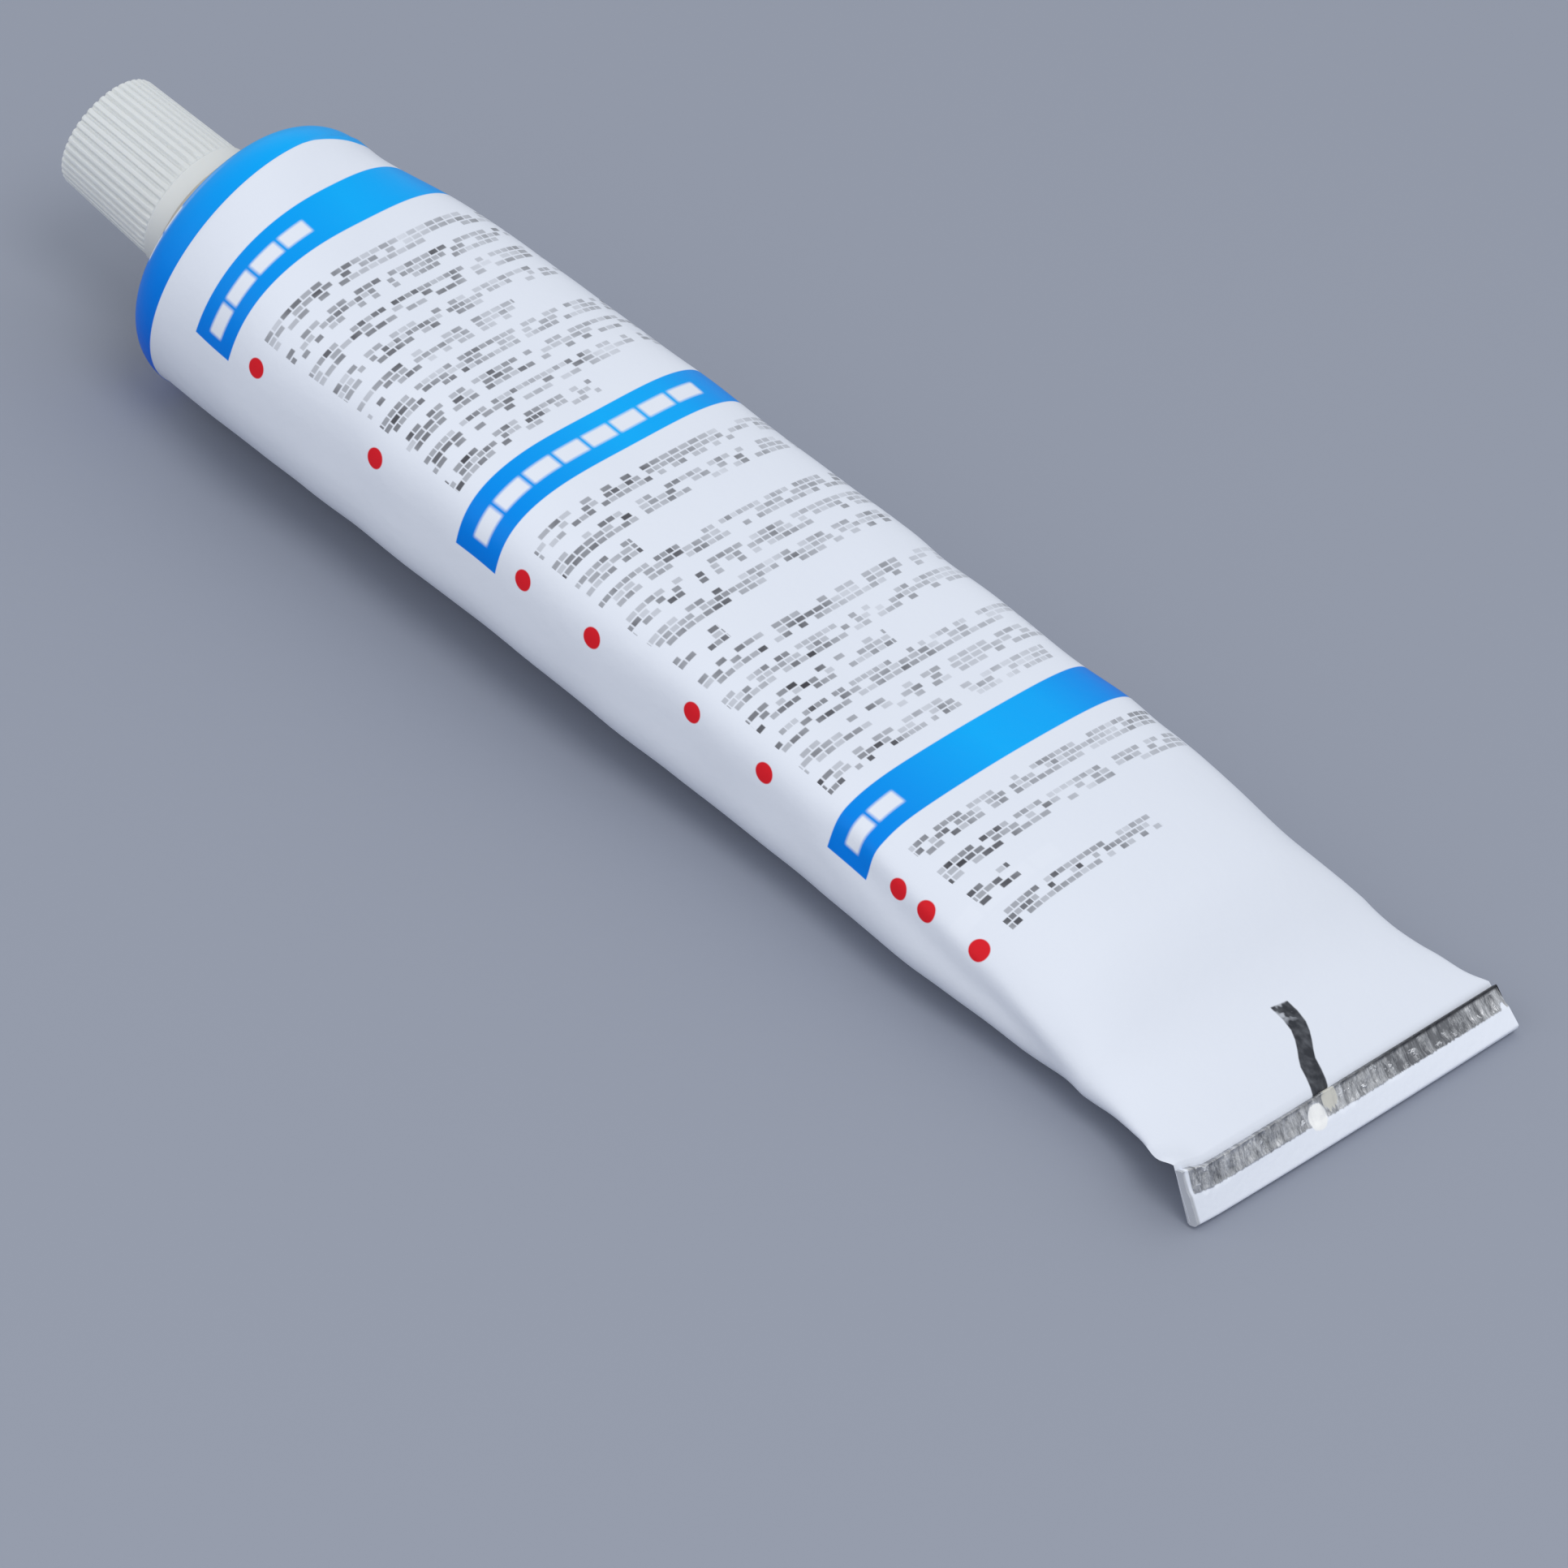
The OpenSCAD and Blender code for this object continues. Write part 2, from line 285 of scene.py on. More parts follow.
def make_mesh(name, grid, uv=None, poles=(True, True), round_u=False, sharp=35):
    """Mesh of a grid of rows by columns whose last column repeats the first. Rows are joined in
    order, each end is closed by a point at its middle, or the last row is joined to the first."""
    rows, cols = grid.shape[0], grid.shape[1] - 1
    points = grid[:, :-1].reshape(-1, 3)
    last = rows if round_u else rows - 1
    i, j = np.meshgrid(np.arange(last), np.arange(cols), indexing="ij")
    i, j = i.ravel(), j.ravel()
    k, m = (i + 1) % rows, (j + 1) % cols
    quads = np.stack([i * cols + j, k * cols + j, k * cols + m, i * cols + m], 1)
    corners = np.stack([np.stack([i, j], 1), np.stack([k, j], 1), np.stack([k, j + 1], 1),
                        np.stack([i, j + 1], 1)], 1)
    tris, tri_corners = [], []
    for end, wanted in ((0, poles[0]), (rows - 1, poles[1])):
        if wanted and not round_u:
            c = np.arange(cols)
            d = (c + 1) % cols
            middle = np.full(cols, len(points))
            points = np.concatenate([points, grid[end, :-1].mean(0)[None]])
            ring = np.stack([end * cols + c, end * cols + d, middle], 1)
            place = np.stack([np.stack([0 * c + end, c], 1), np.stack([0 * c + end, c + 1], 1),
                              np.stack([0 * c + end, c], 1)], 1)
            turn = slice(None) if end == 0 else slice(None, None, -1)
            tris.append(ring[:, turn])
            tri_corners.append(place[:, turn])
    tris = np.concatenate(tris) if tris else np.zeros((0, 3), int)
    split = np.concatenate([quads[:, [0, 1, 2]], quads[:, [0, 2, 3]], tris])
    a, b, c = points[split[:, 0]], points[split[:, 1]], points[split[:, 2]]
    if (np.cross(a, b) * c).sum() < 0:
        quads, corners = quads[:, ::-1], corners[:, ::-1]
        tris = tris[:, ::-1]
        tri_corners = [p[:, ::-1] for p in tri_corners]
    mesh = bpy.data.meshes.new(name)
    mesh.from_pydata(((points - [X_MIDDLE, 0, 0]) * MM).tolist(), [], quads.tolist() + tris.tolist())
    if uv is not None:
        at = np.concatenate([corners.reshape(-1, 2)] + [p.reshape(-1, 2) for p in tri_corners])
        layer = mesh.uv_layers.new(name="Print")
        layer.data.foreach_set("uv", uv[at[:, 0], at[:, 1]].astype(np.float32).ravel())
    mesh.polygons.foreach_set("use_smooth", np.ones(len(mesh.polygons), bool))
    mesh.set_sharp_from_angle(angle=math.radians(sharp))
    mesh.update()
    mesh.validate()
    return mesh


def add_piece(name, mesh, body, node, material):
    """Puts a finished mesh into the scene, riding on its body in place of its CAD node."""
    piece = bpy.data.objects.new(name, mesh)
    bpy.context.scene.collection.objects.link(piece)
    mesh.materials.append(material)
    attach(piece, body)
    if node:
        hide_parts(node)
    return piece


# ---------------------------------------------------------------- materials

class Wiring:
    """Short ways to add nodes to a tree."""

    def __init__(self, tree):
        self.tree = tree

    def node(self, kind, **values):
        made = self.tree.nodes.new(kind)
        for key, value in values.items():
            setattr(made, key, value)
        return made

    def put(self, socket, value):
        if isinstance(value, bpy.types.NodeSocket):
            self.tree.links.new(value, socket)
        elif value is not None:
            socket.default_value = value

    def math(self, operation, *values, clamp=False):
        made = self.node("ShaderNodeMath", operation=operation, use_clamp=clamp)
        for socket, value in zip(made.inputs, values):
            self.put(socket, value)
        return made.outputs[0]

    def times(self, a, b):
        return self.math("MULTIPLY", a, b)

    def mix(self, share, a, b):
        made = self.node("ShaderNodeMix", data_type="RGBA")
        self.put(made.inputs[0], share)
        self.put(made.inputs[6], a)
        self.put(made.inputs[7], b)
        return made.outputs[2]

    def join(self, x, y, z=0.0):
        made = self.node("ShaderNodeCombineXYZ")
        for socket, value in zip(made.inputs, (x, y, z)):
            self.put(socket, value)
        return made.outputs[0]

    def noise(self, vector, scale, detail=2.0, roughness=.5):
        made = self.node("ShaderNodeTexNoise")
        self.put(made.inputs["Vector"], vector)
        self.put(made.inputs["Scale"], scale)
        self.put(made.inputs["Detail"], detail)
        self.put(made.inputs["Roughness"], roughness)
        return made.outputs["Fac"]

    def random(self, vector):
        made = self.node("ShaderNodeTexWhiteNoise", noise_dimensions="3D")
        self.put(made.inputs["Vector"], vector)
        return made.outputs["Value"]

    def step(self, value, low, high):
        """0 at low, 1 at high, held beyond; low may be the greater."""
        made = self.node("ShaderNodeMapRange")
        for socket, number in zip(made.inputs, (value, low, high, 0.0, 1.0)):
            self.put(socket, number)
        return made.outputs[0]

    def near(self, value, middle, outer, inner):
        """1 within inner of the middle, 0 beyond outer."""
        return self.step(self.math("ABSOLUTE", self.math("SUBTRACT", value, middle)), outer, inner)

    def distance(self, vector, place):
        made = self.node("ShaderNodeVectorMath", operation="DISTANCE")
        self.put(made.inputs[0], vector)
        made.inputs[1].default_value = place
        return made.outputs["Value"]

    def ramp(self, value, stops, interpolation="LINEAR"):
        """Grey levels at the stops (position, level), read at value."""
        made = self.node("ShaderNodeValToRGB")
        made.color_ramp.interpolation = interpolation
        steps = made.color_ramp.elements
        for n, (position, level) in enumerate(stops):
            element = steps[n] if n < 2 else steps.new(position)
            element.position = position
            element.color = (level, level, level, 1)
        self.put(made.inputs[0], value)
        return made.outputs[0]

    def use(self, group, **values):
        made = self.node("ShaderNodeGroup", node_tree=group)
        for key, value in values.items():
            self.put(made.inputs[key.replace("_", " ")], value)
        return made

    def bump(self, height, strength, distance):
        made = self.node("ShaderNodeBump")
        self.put(made.inputs["Strength"], strength)
        self.put(made.inputs["Distance"], distance)
        self.put(made.inputs["Height"], height)
        return made.outputs[0]


def new_group(name, inputs, outputs):
    """Node group with float inputs, each with its default, and float outputs."""
    if name in bpy.data.node_groups:
        return bpy.data.node_groups[name], None, None, None
    tree = bpy.data.node_groups.new(name, "ShaderNodeTree")
    for key, value in inputs.items():
        kind = "NodeSocketVector" if isinstance(value, tuple) else "NodeSocketFloat"
        socket = tree.interface.new_socket(key, in_out="INPUT", socket_type=kind)
        socket.default_value = value
    for key in outputs:
        tree.interface.new_socket(key, in_out="OUTPUT", socket_type="NodeSocketFloat")
    wires = Wiring(tree)
    start, end = tree.nodes.new("NodeGroupInput"), tree.nodes.new("NodeGroupOutput")
    return tree, wires, start.outputs, end.inputs


def printed_field():
    """1 inside a box of the print, from Start to End along the tube and Left to Right round it."""
    tree, w, i, o = new_group("Printed field", {
        "Along": 0.0, "Around": 0.0, "Start": 0.0, "End": 1.0, "Left": 1.0, "Right": 0.0, "Soft": .12}, ["Mask"])
    if w:
        def edge(a, b):
            return w.math("ADD", w.math("DIVIDE", w.math("SUBTRACT", a, b), i["Soft"]), .5, clamp=True)
        along = w.times(edge(i["Along"], i["Start"]), edge(i["End"], i["Along"]))
        around = w.times(edge(i["Left"], i["Around"]), edge(i["Around"], i["Right"]))
        w.put(o["Mask"], w.times(along, around))
    return tree


def print_row():
    """Number of the row at this point, and the height inside it, -0.5 to 0.5 over its marks."""
    tree, w, i, o = new_group("Print row", {"Along": 0.0, "First": 0.0, "Pitch": 3.0, "Height": 2.1},
                              ["Row", "Rise"])
    if w:
        way = w.math("SUBTRACT", i["Along"], i["First"])
        row = w.math("FLOOR", w.math("ADD", w.math("DIVIDE", way, i["Pitch"]), .5))
        w.put(o["Row"], row)
        w.put(o["Rise"], w.math("DIVIDE", w.math("SUBTRACT", way, w.times(row, i["Pitch"])), i["Height"]))
    return tree


def dash_marks():
    """Rows of plain broken lines in place of small print: every row holds a few thin lines, each
    cut into dashes of its own length and darkness, from Left to Right."""
    tree, w, i, o = new_group("Dash marks", {
        "Row": 0.0, "Rise": 0.0, "Around": 0.0, "Left": 1.0, "Right": 0.0, "Lines": 3.0, "Length": .8,
        "Cover": .7, "Uneven": 1.0, "Seed": 0.0}, ["Mask"])
    if w:
        high = w.times(w.math("ADD", i["Rise"], .5), i["Lines"])
        line = w.math("FLOOR", high)
        own = w.times(w.random(w.join(line, i["Row"], i["Seed"])), i["Uneven"])
        length = w.times(i["Length"], w.math("MULTIPLY_ADD", own, .8, 1.0))
        way = w.math("DIVIDE", w.math("SUBTRACT", i["Left"], i["Around"]), length)
        way = w.math("ADD", way, w.times(own, 9.0))
        dash = w.math("FLOOR", way)
        chance = w.random(w.join(dash, w.math("MULTIPLY_ADD", i["Row"], 7.3, line), i["Seed"]))
        chosen = w.math("LESS_THAN", chance, i["Cover"])
        thick = w.near(w.math("FRACT", high), .5, .46, .30)
        inner = w.near(w.math("FRACT", way), .5, .49, .38)
        inside = w.times(w.math("COMPARE", i["Rise"], 0.0, .5),
                        w.times(w.math("LESS_THAN", i["Around"], i["Left"]),
                               w.math("GREATER_THAN", i["Around"], i["Right"])))
        lighter = w.times(i["Uneven"], w.math("SUBTRACT", .7, chance))
        press = w.math("SUBTRACT", 1.0, lighter, clamp=True)
        mark = w.times(w.times(thick, inner), w.times(chosen, press))
        w.put(o["Mask"], w.times(mark, inside))
    return tree


def surface_wear():
    """Fine grain and broad stains for any finish: two noises of the same point, -0.5 to 0.5."""
    tree, w, i, o = new_group("Grain and stain", {"Vector": (0.0, 0.0, 0.0), "Grain": 900.0, "Stain": 60.0},
                              ["Grain", "Stain"])
    if w:
        w.put(o["Grain"], w.math("SUBTRACT", w.noise(i["Vector"], i["Grain"], 3.0), .5))
        w.put(o["Stain"], w.math("SUBTRACT", w.noise(i["Vector"], i["Stain"], 4.0, .6), .5))
    return tree


def new_material(name):
    """Empty node material with its output and one Principled shader."""
    made = bpy.data.materials.new(name)
    made.use_nodes = True
    made.node_tree.nodes.clear()
    w = Wiring(made.node_tree)
    shader, out = w.node("ShaderNodeBsdfPrincipled"), w.node("ShaderNodeOutputMaterial")
    w.put(out.inputs["Surface"], shader.outputs[0])
    return made, w, shader.inputs


def print_axes(w):
    """The UV map Print and its two directions, in millimetres."""
    uv = w.node("ShaderNodeUVMap", uv_map="Print").outputs[0]
    split = w.node("ShaderNodeSeparateXYZ")
    w.put(split.inputs[0], uv)
    return uv, split.outputs[0], split.outputs[1]


def object_wear(w, grain, stain):
    """Grain and stain read at the point's Object coordinates."""
    point = w.node("ShaderNodeTexCoord").outputs["Object"]
    return w.use(surface_wear(), Vector=point, Grain=grain, Stain=stain).outputs


# Rows of dashes: first row along, pitch, left end round from the top line, right end of each row
ROWS = [
    (15.6, 3.11, 17.18, [-17.5, -17.5, -17.5, -17.5, -5, -17.5, -17.5, -17.5, -3]),
    (52.0, 3.11, 17.18, [-17.5, -17.5, 10, -17.5, -17.5, -17.5, 11, -17.5, -17.5, -2.5, -17.5, -17.5, -15]),
    (100.7, 3.57, 16.5, [-18, -18, 11, -5.5]),
]
# Bars from and to along the tube, their ends round it, and the blocks in each: left end,
# number of blocks, width of one
BARS = [(5.97, 11.34), (43.09, 48.46), (92.25, 97.52)]
BAR_LEFT, BAR_RIGHT = 21.7, -18.3
HEADINGS = [(20.6, 4, 3.75), (20.0, 8, 4.0), (20.3, 2, 3.9)]
# Round marks: places along, their line round, radius
DOT_X = [15.1, 31.2, 51.9, 61.3, 73.8, 83.2, 101.3, 104.9, 111.3]
DOT_S, DOT_R = 20.0, 1.02
# The ring begins short of the cone, and the shoulder's bare metal a little before that
RING_START = -5.3
BARE_FROM = -4.85
# Middle line of the dark mark at the tail (along, around) and half its width
EYE_MARK = [(131.4, -1.3), (133.0, -1.35), (134.3, -1.05), (135.3, -.45), (136.2, .3), (137.0, 1.05),
            (137.8, 1.7), (139.0, 2.2), (140.6, 3.0)]
EYE_HALF = 1.14
# Middle of the white blot and of the grey smear on the foil (across, down), with their radius
BLOT = (-4.75, 2.3, 1.3)
SMEAR = (-2.3, 1.3, 1.1)


def ring_and_bars(w, along, around, colour, colours):
    """Blue ring round the shoulder, wider at the right, and the three bars, with painted shade and sheen in the
    blue: deepest at both flanks, lightest near the top line.
    """
    field = printed_field()
    rim = w.math("MULTIPLY_ADD", w.step(around, -1.0, -9.0), 1.6, .1)
    mask = w.use(field, Along=along, Around=around, Start=RING_START, End=rim, Left=60.0, Right=-60.0).outputs[0]
    for start, end in BARS:
        bar = w.use(field, Along=along, Around=around, Start=start, End=end, Left=BAR_LEFT, Right=BAR_RIGHT)
        mask = w.math("MAXIMUM", mask, bar.outputs[0])
    # Painted shade and sheen: the blue runs from a deep blue at both flanks to the lighter Blue near the top line.
    full = w.ramp(w.step(around, -20.0, 32.0), [(0, .1), (.1, .5), (.23, .9), (.385, 1), (.577, .66), (.77, .28),
                                                (1, 0)])
    return w.mix(mask, colour, w.mix(full, (0.0, .12, .70, 1), tuple(colours.blue)))


def heading_blocks(w, along, around, colour, colours):
    """Plain white blocks in the bars."""
    for (start, end), (left, count, cell) in zip(BARS, HEADINGS):
        at = w.use(print_row(), Along=along, First=(start + end) / 2, Pitch=100.0, Height=2.3)
        mark = w.use(dash_marks(), Row=at.outputs["Row"], Rise=at.outputs["Rise"], Around=around, Left=left,
                     Right=left - cell * count, Lines=1.0, Length=cell, Cover=2.0, Uneven=0.0, Seed=start)
        colour = w.mix(mark.outputs[0], colour, tuple(colours.lacquer))
    return colour


def dash_rows(w, uv, along, around, colour, colours):
    """Three blocks of rows, each row ending at its own place, paler in patches and to the right under a painted
    sheen.
    """
    text = None
    for first, pitch, left, ends in ROWS:
        at = w.use(print_row(), Along=along, First=first, Pitch=pitch)
        level = w.ramp(w.math("DIVIDE", w.math("ADD", at.outputs["Row"], .5), 16.0),
                       [(n / 16, (right + 20) / 40) for n, right in enumerate(ends)], "CONSTANT")
        end = w.math("SUBTRACT", w.times(level, 40.0), 20.0)
        mark = w.use(dash_marks(), Row=at.outputs["Row"], Rise=at.outputs["Rise"], Around=around, Left=left,
                     Right=end, Seed=first)
        part = w.use(printed_field(), Along=along, Around=around, Start=first - pitch / 2,
                     End=first + pitch * (len(ends) - .5), Left=40.0, Right=-40.0)
        mask = w.times(mark.outputs[0], part.outputs[0])
        text = mask if text is None else w.math("MAXIMUM", text, mask)
    # Painted sheen: the ink is paler in broad patches and towards the right flank.
    sheen_patches = w.math("MULTIPLY_ADD", w.noise(uv, .16, 2.0), 1.5, -.2)
    ink_under_painted_sheen = w.math("ADD", sheen_patches, w.times(w.step(around, -8.0, 15.0), .42), clamp=True)
    return w.mix(w.times(text, w.math("MAXIMUM", ink_under_painted_sheen, .42)), colour, tuple(colours.ink))


def round_marks(w, uv, colour, colours):
    """Red dots at the margin."""
    near = w.distance(uv, (DOT_X[0], DOT_S, 0))
    for x in DOT_X[1:]:
        near = w.math("MINIMUM", near, w.distance(uv, (x, DOT_S, 0)))
    return w.mix(w.step(near, DOT_R + .06, DOT_R - .06), colour, tuple(colours.red))


def eye_mark(w, uv, along, around, colour):
    """Dark mark that the filling machine reads, bent by the fold and worn at its slanted end."""
    level = w.ramp(w.step(along, 131.0, 141.0), [((x - 131) / 10, (v + 2) / 6) for x, v in EYE_MARK])
    stripe = w.near(around, w.math("MULTIPLY_ADD", level, 6.0, -2.0), EYE_HALF + .08, EYE_HALF - .08)
    slanted = w.math("ADD", along, w.times(around, .12))
    stripe = w.times(stripe, w.step(slanted, 131.35, 131.5))
    smudge = w.times(w.step(w.noise(uv, 1.1, 1.0), .5, .62), w.step(along, 133.8, 132.8))
    worn = w.math("SUBTRACT", w.math("MULTIPLY_ADD", w.noise(uv, .9), .3, .82), w.times(smudge, .5), clamp=True)
    return w.mix(w.times(stripe, worn), colour, (.035, .038, .046, 1))


def lacquer_material(colours):
    """White lacquer with the print: fields, rows of dashes and round marks on the UV map Print,
    which holds millimetres along and round the tube; bare metal on the shoulder cone."""
    made, w, shader = new_material("Printed lacquer")
    uv, along, around = print_axes(w)
    wear = object_wear(w, 700.0, 38.0)
    colour = w.mix(w.math("MULTIPLY_ADD", wear["Stain"], .35, .12, clamp=True), tuple(colours.lacquer),
                   (.66, .70, .80, 1))
    colour = ring_and_bars(w, along, around, colour, colours)
    colour = heading_blocks(w, along, around, colour, colours)
    colour = dash_rows(w, uv, along, around, colour, colours)
    colour = round_marks(w, uv, colour, colours)
    colour = eye_mark(w, uv, along, around, colour)
    # Painted highlight: a light blue band on the ring along the shoulder's rolled edge, where the lamp is
    # reflected.
    rim_painted_highlight = w.times(w.near(along, -4.1, .5, .0), w.near(around, 12.0, 9.0, 3.0))
    colour = w.mix(w.times(rim_painted_highlight, .3), colour, (.55, .75, .95, 1))
    bare = w.step(along, BARE_FROM, BARE_FROM - .1)
    colour = w.mix(bare, colour, (.50, .44, .36, 1))
    w.put(shader["Base Color"], colour)
    w.put(shader["Metallic"], w.times(bare, .8))
    w.put(shader["Roughness"], w.math("MULTIPLY_ADD", wear["Stain"], .25, .36, clamp=True))
    shader["Specular IOR Level"].default_value = .08
    height = w.math("ADD", wear["Grain"], w.times(wear["Stain"], 3.0))
    w.put(shader["Normal"], w.bump(height, .35, .00012))
    return made


def tail_material(colours):
    """Bare crimped foil near the bend, white lacquer beyond an uneven edge. The UV map Print
    holds millimetres across the tail and down the strip."""
    made, w, shader = new_material("Crimped foil")
    _, across, down = print_axes(w)
    wear = object_wear(w, 1500.0, 240.0)
    ragged = w.math("SUBTRACT", w.noise(w.join(across, 0.0), 1.9, 3.0, .7), .5)
    notch = w.step(w.noise(w.join(across, 9.0), .42, 1.0), .66, .70)
    border = w.math("SUBTRACT", w.math("MULTIPLY_ADD", ragged, .5, 2.85), w.times(notch, .7))
    bare = w.times(w.step(w.math("SUBTRACT", down, border), .07, -.07), w.step(across, -22.8, -22.65))

    def patch(x, y, size, uneven):
        far = w.distance(w.join(across, down), (x, y, 0))
        return w.step(w.math("MULTIPLY_ADD", ragged, uneven, far), size + .1, size - .1)
    blot, smear = patch(*BLOT, .5), patch(*SMEAR, 2.4)
    bare = w.times(bare, w.math("SUBTRACT", 1.0, w.math("MAXIMUM", blot, smear)))
    streak = w.step(w.noise(w.join(across, w.times(down, .3)), 1.0, 4.0, .8), .34, .68)
    fleck = w.step(w.noise(w.join(across, w.times(down, 1.4), 5.0), .85, 3.0, .65), .56, .66)
    # Painted shadow: the bare foil is darkened across the middle right of the strip.
    foil_painted_shadow = w.times(w.near(across, 12.0, 8.5, 5.0), .35)
    bright = w.math("SUBTRACT", w.math("MAXIMUM", streak, fleck), foil_painted_shadow, clamp=True)
    foil = w.mix(bright, (.18, .185, .2, 1), (.80, .81, .84, 1))
    # Painted shade: a dark band over the first 0.7 mm of foil below the bend, stronger to the right, where the
    # crevice under the body's edge lies in shade.
    crevice_painted_shade = w.times(w.step(down, .95, .7), w.step(across, -14.0, 12.0))
    foil = w.mix(crevice_painted_shade, foil, (.06, .062, .07, 1))
    # Painted light: the tail's lacquer is drawn a tenth lighter than the body's, for the light falling on the flap.
    lit_lacquer = tuple(min(1.0, c * 1.1) for c in colours.lacquer)
    white = w.mix(smear, lit_lacquer, (.62, .61, .56, 1))
    # The flap's left end is drawn darker.
    dark_left_end = w.times(w.step(across, -23.0, -23.25), .55)
    white = w.mix(dark_left_end, white, (.2, .205, .22, 1))
    white = w.mix(blot, white, (.95, .95, .95, 1))
    w.put(shader["Base Color"], w.mix(bare, white, foil))
    w.put(shader["Metallic"], w.times(bare, .85))
    w.put(shader["Roughness"], w.math("MULTIPLY_ADD", wear["Stain"], .2, .38, clamp=True))
    shader["Specular IOR Level"].default_value = .2
    height = w.math("ADD", w.times(w.times(bright, bare), 2.0), wear["Grain"])
    w.put(shader["Normal"], w.bump(height, .5, .0001))
    return made


def foil_material(colours):
    """Turned bare aluminium of the neck: a fine grain and a faint stain."""
    made, w, shader = new_material("Bare aluminium")
    wear = object_wear(w, 2200.0, 300.0)
    dull = w.math("MULTIPLY_ADD", wear["Stain"], .8, .3, clamp=True)
    w.put(shader["Base Color"], w.mix(dull, tuple(colours.foil), (.42, .41, .39, 1)))
    shader["Metallic"].default_value = 1.0
    w.put(shader["Roughness"], w.math("MULTIPLY_ADD", wear["Stain"], .3, .38, clamp=True))
    w.put(shader["Normal"], w.bump(wear["Grain"], .3, .00005))
    return made


def cap_material(colours):
    """Milky moulded plastic: satin, slightly cloudy, with a faint moulding grain."""
    made, w, shader = new_material("Milky plastic")
    wear = object_wear(w, 1600.0, 140.0)
    cloud = w.math("MULTIPLY_ADD", wear["Stain"], .9, .35, clamp=True)
    w.put(shader["Base Color"], w.mix(cloud, tuple(colours.cap), (.65, .67, .675, 1)))
    w.put(shader["Roughness"], w.math("MULTIPLY_ADD", wear["Stain"], .2, .42, clamp=True))
    shader["Subsurface Weight"].default_value = .3
    shader["Subsurface Radius"].default_value = (.0015, .0014, .0012)
    shader["Subsurface Scale"].default_value = 1.0
    w.put(shader["Normal"], w.bump(wear["Grain"], .25, .00004))
    return made


def table_material(colours):
    """Matte painted table with a barely visible tooth."""
    made, w, shader = new_material("Table")
    point = w.node("ShaderNodeTexCoord").outputs["Object"]
    cloud = w.noise(point, 3.0, 2.0)
    w.put(shader["Base Color"], w.mix(cloud, tuple(colours.table),
                                      tuple(c * .96 for c in colours.table[:3]) + (1,)))
    shader["Roughness"].default_value = .75
    shader["Specular IOR Level"].default_value = .2
    w.put(shader["Normal"], w.bump(w.noise(point, 900.0), .08, .0001))
    return made


# ---------------------------------------------------------------- pieces

def dented(grid, along, around, depth):
    """Pushes the body in and out along its normals: broad dents of handling, finer ones toward
    the flanks, one long crease on the left flank, nothing at the shoulder, at the bend and where
    it rests. Then moves the two flanks sideways by their sway curves."""
    calm = smooth(along, 2, 16) * (1 - smooth(along, 126, 138)) * (1 - .6 * smooth(np.abs(around), 30, 36))
    flank = smooth(np.abs(around), 8, 20)
    broad = lattice(along / 15, around / 11 + 40, 5)
    small = lattice(along / 6.5 + 11, around / 7 + 21, 9)
    push = depth * calm * (broad * (.6 + .9 * flank) + small * .6 * flank)
    off = around - (17.8 + (along - 93.5) * .154)
    ridge, hollow = np.exp(-(off / .9) ** 2), np.exp(-((off - 2.6) / 1.8) ** 2)
    push += depth * smooth(along, 88, 97) * (1 - smooth(along, 119, 127)) * (.5 * ridge - 1.3 * hollow)
    out = grid + normals_of(grid) * push[..., None]
    below = 1 - smooth(np.abs(around), 37, 46)
    out[..., 1] -= curve(along, LEFT_SWAY) * smooth(around, 5, 22) * below
    out[..., 1] += curve(along, RIGHT_SWAY) * smooth(-around, 2, 12) * below
    out[..., 2] = np.maximum(out[..., 2], 0)
    return out


class TubeBody(bpy.types.Operator):
    """Printed body with its rolled shoulder and the inner sheets of the folded tail"""

    bl_idname = "object.tube_body"
    bl_label = "Tube body"

    def execute(self, context):
        form, colours = context.scene.tube_form, context.scene.tube_print
        columns = 256
        stations = np.concatenate([np.linspace(0, .1, 40)[:-1], np.linspace(.1, .88, 120)[:-1],
                                   np.linspace(.88, 1, 60)])
        grid, around = body_rings(form, stations, columns)
        along = stations[:, None] * form.body_len / MM + 0 * around
        grid = dented(grid, along, around, form.dents / MM)
        q = math.pi / 2 - around[:1] / BODY_R
        turn = np.linspace(EDGE_TURN, 0, 15)[:-1, None]
        arc = neck_frame(BODY_R - SHOULDER_ROUND * (1 - np.cos(turn)), q, SHOULDER_ROUND * np.sin(turn),
                         form.neck_tilt)
        cone_s = np.linspace(0, 1, 8)[:-1, None]
        cone = neck_frame(SEAT_R + (EDGE_R - SEAT_R) * cone_s, q, SEAT_Z + (EDGE_Z - SEAT_Z) * cone_s,
                          form.neck_tilt)
        arc_x = -SHOULDER_ROUND * turn
        cone_x = -SHOULDER_ROUND * EDGE_TURN - (1 - cone_s) * math.hypot(EDGE_R - SEAT_R, SEAT_Z - EDGE_Z)
        tail = Tail(form)
        down = np.array([.06, .12, .25, .4, .6, .8, .93, .97])[:, None]
        y = grid[-1:, :, 1]
        strip = tail.point(y * (1 - STRIP_SLANT * down * (y < 0)), down + 0 * y,
                           grid[-1:, :, 2] - tail.bend_z(y) + 0 * down)
        ends = around[-1:] + 0 * down
        uv = np.stack([np.concatenate([cone_x + 0 * q, arc_x + 0 * q, along, along[-1:] + down * tail.fold(y)]),
                       np.concatenate([around[:1] + 0 * cone_s, around[:1] + 0 * turn, around, ends])], -1)
        skin = curled(np.concatenate([cone, arc, grid, strip]), form)
        mesh = make_mesh("tube_body", skin, uv, sharp=60)
        add_piece("tube_body", mesh, "tube", "tube", lacquer_material(colours))
        return {"FINISHED"}


